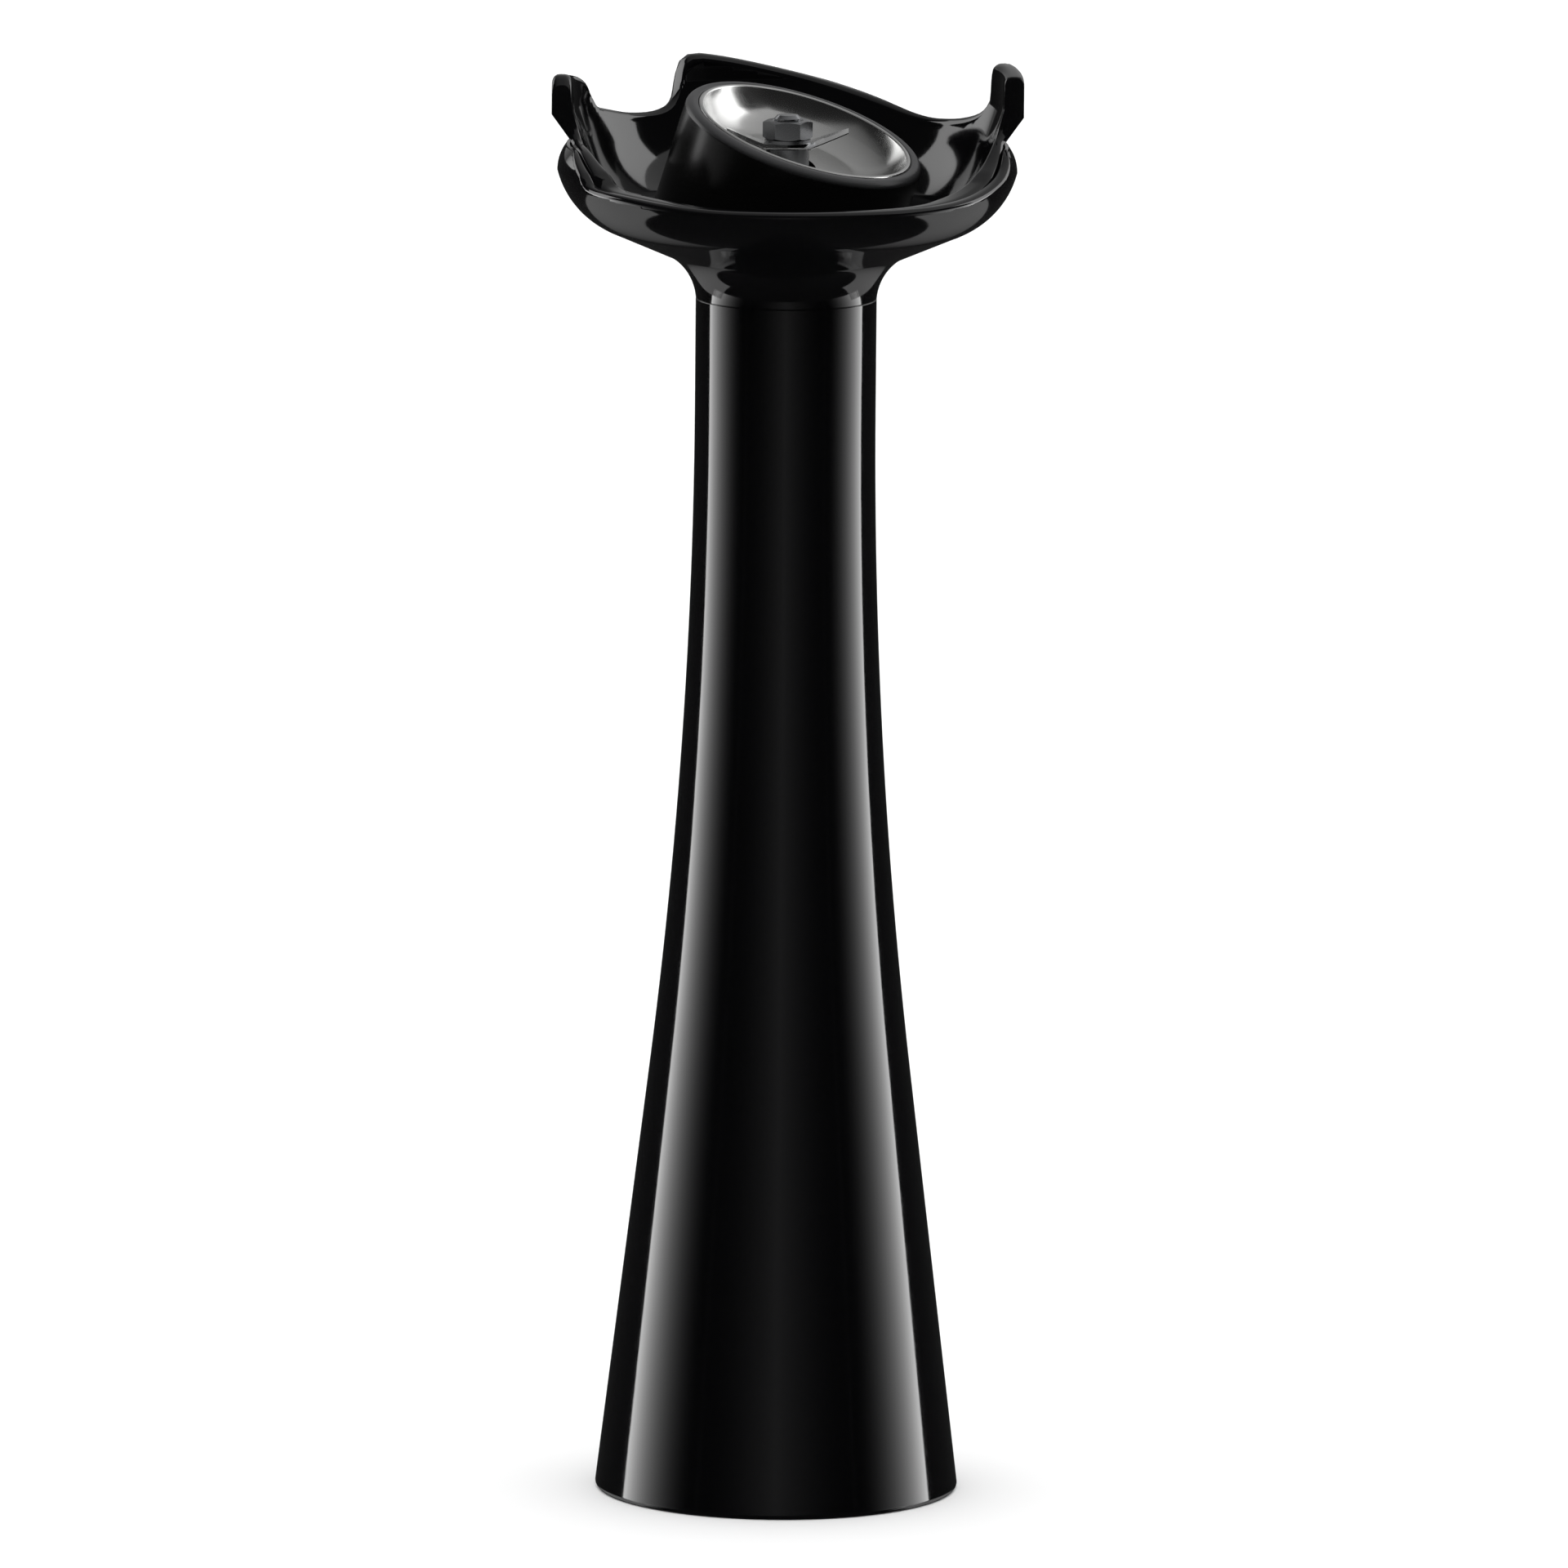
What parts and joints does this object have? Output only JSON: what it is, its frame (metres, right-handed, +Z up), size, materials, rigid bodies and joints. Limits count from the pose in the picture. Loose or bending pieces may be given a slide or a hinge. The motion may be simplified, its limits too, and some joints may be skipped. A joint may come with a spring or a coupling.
{
  "type": "hand blender blending arm",
  "caption": "Detachable blending arm for a hand blender: tapered hollow leg, drive shaft and blade in a tilted steel dish inside an open, lobed guard bell.",
  "frame": {"origin": "centre of the ring that the arm stands on, at the wide coupling end", "axes": "+Z up along the drive shaft towards the blade, +Y towards the tall part of the guard"},
  "size_m": [0.0698, 0.0682, 0.213],
  "materials": {
    "gloss_black": "high-gloss moulded ABS, black",
    "collar_grey": "satin moulded plastic, dark grey",
    "polished_steel": "polished stainless steel",
    "blade_steel": "ground stainless steel",
    "plain_steel": "turned stainless steel",
    "sintered_bronze": "sintered bronze",
    "seal_rubber": "black silicone rubber",
    "inner_plastic": "moulded glass-filled nylon, dark",
    "socket_grey": "moulded plastic, charcoal",
    "coupling_nylon": "natural nylon, off-white"
  },
  "bodies": {
    "arm": {"leg_shell": "gloss_black", "bell": "gloss_black", "guard_crown": "gloss_black", "well_collar": "collar_grey", "steel_dish": "polished_steel", "collar_gasket": "seal_rubber", "bearing_carrier": "inner_plastic", "upper_bush": "sintered_bronze", "shaft_seal": "seal_rubber", "seal_washer": "plain_steel", "hub_ring_nut": "inner_plastic", "neck_oring": "seal_rubber", "splash_seal": "seal_rubber", "shaft_tube": "plain_steel", "mid_guide": "inner_plastic", "coupling_collar": "socket_grey", "bearing_plate": "inner_plastic", "plate_screws": "plain_steel", "lower_bush": "sintered_bronze"},
    "rotor": {"drive_shaft": "plain_steel", "coupling_pin": "plain_steel", "drive_coupling": "coupling_nylon", "lower_thrust_washer": "plain_steel", "retaining_clip": "plain_steel", "upper_thrust_washer": "plain_steel", "blade_hub": "plain_steel", "blade": "blade_steel", "blade_washer": "plain_steel", "blade_nut": "plain_steel"}
  },
  "joints": [
    {"name": "blade_spin", "type": "hinge", "parent": "arm", "child": "rotor", "pos_m": [0, 0, 0.2], "axis": [0, 0, 1], "continuous": true}
  ]
}
